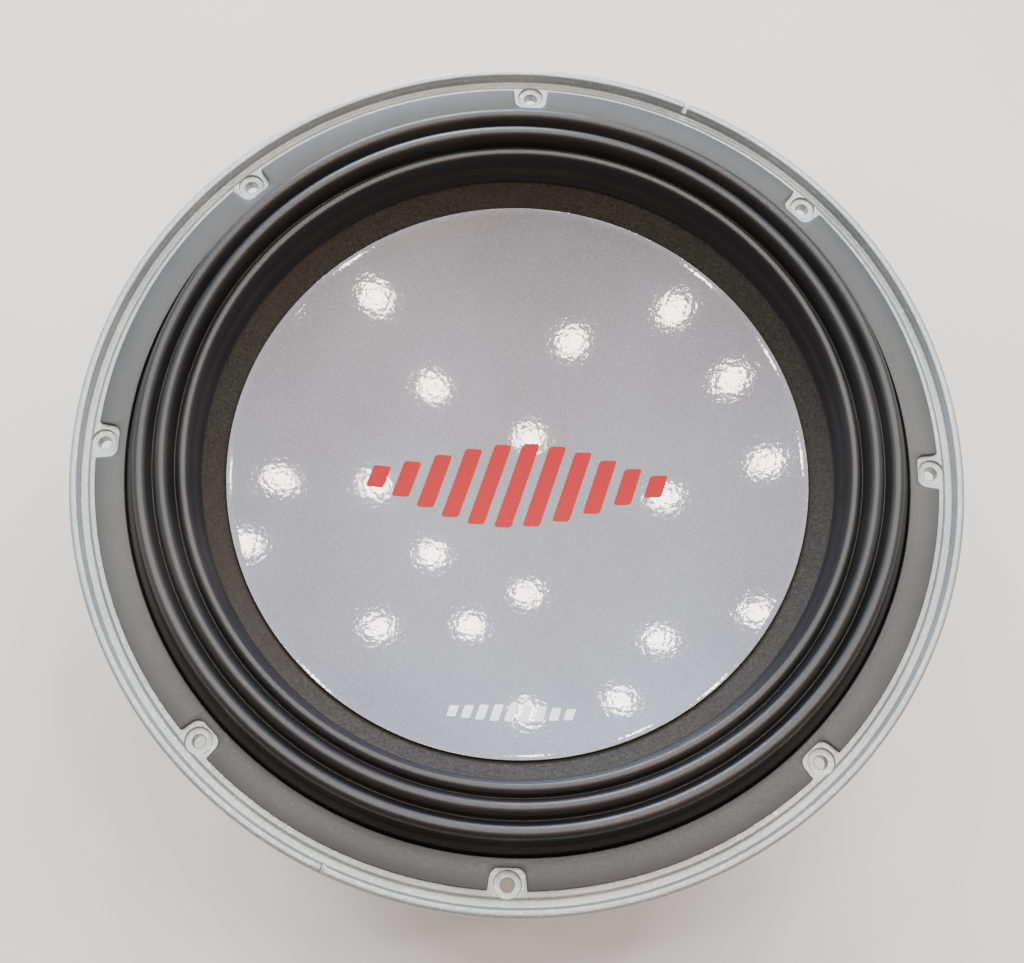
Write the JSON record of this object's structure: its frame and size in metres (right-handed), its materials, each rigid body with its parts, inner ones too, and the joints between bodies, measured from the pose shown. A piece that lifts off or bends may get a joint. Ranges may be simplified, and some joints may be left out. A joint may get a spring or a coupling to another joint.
{
  "type": "car subwoofer driver",
  "caption": "Round 15-inch-class car subwoofer driver: cast basket, ribbed rubber surround, dished dust cap, twin voice coils and a stacked magnet motor.",
  "frame": {"origin": "on the driver's axis at the rear face of the motor, which it stands on", "axes": "+Z along the driver's axis towards the listener; +Y towards one of the bolt holes; +X towards terminal a"},
  "size_m": [0.397, 0.397, 0.2308],
  "materials": {
    "cast_frame": "silver-grey hammered paint over cast aluminium",
    "gasket_rubber": "satin moulded rubber",
    "surround_rubber": "soft satin butyl rubber",
    "spider_cloth": "resin-stiffened woven cotton, yellowish",
    "plated_steel": "zinc-plated steel",
    "aluminium": "bare aluminium",
    "ferrite": "sintered ferrite, matt charcoal",
    "boot_rubber": "matt moulded rubber",
    "cone_pulp": "dark grey pressed paper pulp, fine felted grain",
    "cap_pearl": "silver pearl lacquer over a moulded dish, glossy",
    "copper_wire": "enamelled copper wire, glossy",
    "terminal_plastic": "black glass-filled nylon",
    "plunger_red": "red moulded plastic",
    "brass": "tinned brass strip",
    "tinsel_braid": "braided tinsel wire over thread"
  },
  "bodies": {
    "frame": {"basket": "cast_frame", "trim_gasket": "gasket_rubber", "surround": "surround_rubber", "spider": "spider_cloth", "yoke": "plated_steel", "shorting_ring": "aluminium", "magnet_rear": "ferrite", "magnet_front": "ferrite", "top_plate": "plated_steel", "magnet_boot": "boot_rubber", "motor_screw_1": "plated_steel", "motor_screw_2": "plated_steel", "motor_screw_3": "plated_steel", "motor_screw_4": "plated_steel", "motor_screw_5": "plated_steel", "motor_screw_6": "plated_steel", "terminal_base_a": "terminal_plastic", "terminal_spring_a_plus": "plated_steel", "terminal_lug_a_plus": "brass", "terminal_screw_a_plus": "plated_steel", "tinsel_lead_a_plus": "tinsel_braid", "terminal_spring_a_minus": "plated_steel", "terminal_lug_a_minus": "brass", "terminal_screw_a_minus": "plated_steel", "tinsel_lead_a_minus": "tinsel_braid", "terminal_base_b": "terminal_plastic", "terminal_spring_b_plus": "plated_steel", "terminal_lug_b_plus": "brass", "terminal_screw_b_plus": "plated_steel", "tinsel_lead_b_plus": "tinsel_braid", "terminal_spring_b_minus": "plated_steel", "terminal_lug_b_minus": "brass", "terminal_screw_b_minus": "plated_steel", "tinsel_lead_b_minus": "tinsel_braid"},
    "cone_assembly": {"cone": "cone_pulp", "dust_cap": "cap_pearl", "coil_former": "aluminium", "coil_winding_inner": "copper_wire", "coil_winding_outer": "copper_wire"},
    "plunger_a_plus": {"terminal_plunger_a_plus": "plunger_red"},
    "plunger_a_minus": {"terminal_plunger_a_minus": "terminal_plastic"},
    "plunger_b_plus": {"terminal_plunger_b_plus": "plunger_red"},
    "plunger_b_minus": {"terminal_plunger_b_minus": "terminal_plastic"}
  },
  "joints": [
    {"name": "cone_travel", "type": "slide", "parent": "frame", "child": "cone_assembly", "axis": [0, 0, 1], "range_m": [-0.018, 0.018], "stiffness_N_per_m": 7400, "deforming": ["surround", "spider", "tinsel_lead_a_plus", "tinsel_lead_a_minus", "tinsel_lead_b_plus", "tinsel_lead_b_minus"]},
    {"name": "push_a_plus", "type": "slide", "parent": "frame", "child": "plunger_a_plus", "axis": [-1, 0, 0], "range_m": [0, 0.003], "stiffness_N_per_m": 1000, "deforming": ["terminal_spring_a_plus"]},
    {"name": "push_a_minus", "type": "slide", "parent": "frame", "child": "plunger_a_minus", "axis": [-1, 0, 0], "range_m": [0, 0.003], "stiffness_N_per_m": 1000, "deforming": ["terminal_spring_a_minus"]},
    {"name": "push_b_plus", "type": "slide", "parent": "frame", "child": "plunger_b_plus", "axis": [1, 0, 0], "range_m": [0, 0.003], "stiffness_N_per_m": 1000, "deforming": ["terminal_spring_b_plus"]},
    {"name": "push_b_minus", "type": "slide", "parent": "frame", "child": "plunger_b_minus", "axis": [1, 0, 0], "range_m": [0, 0.003], "stiffness_N_per_m": 1000, "deforming": ["terminal_spring_b_minus"]}
  ]
}
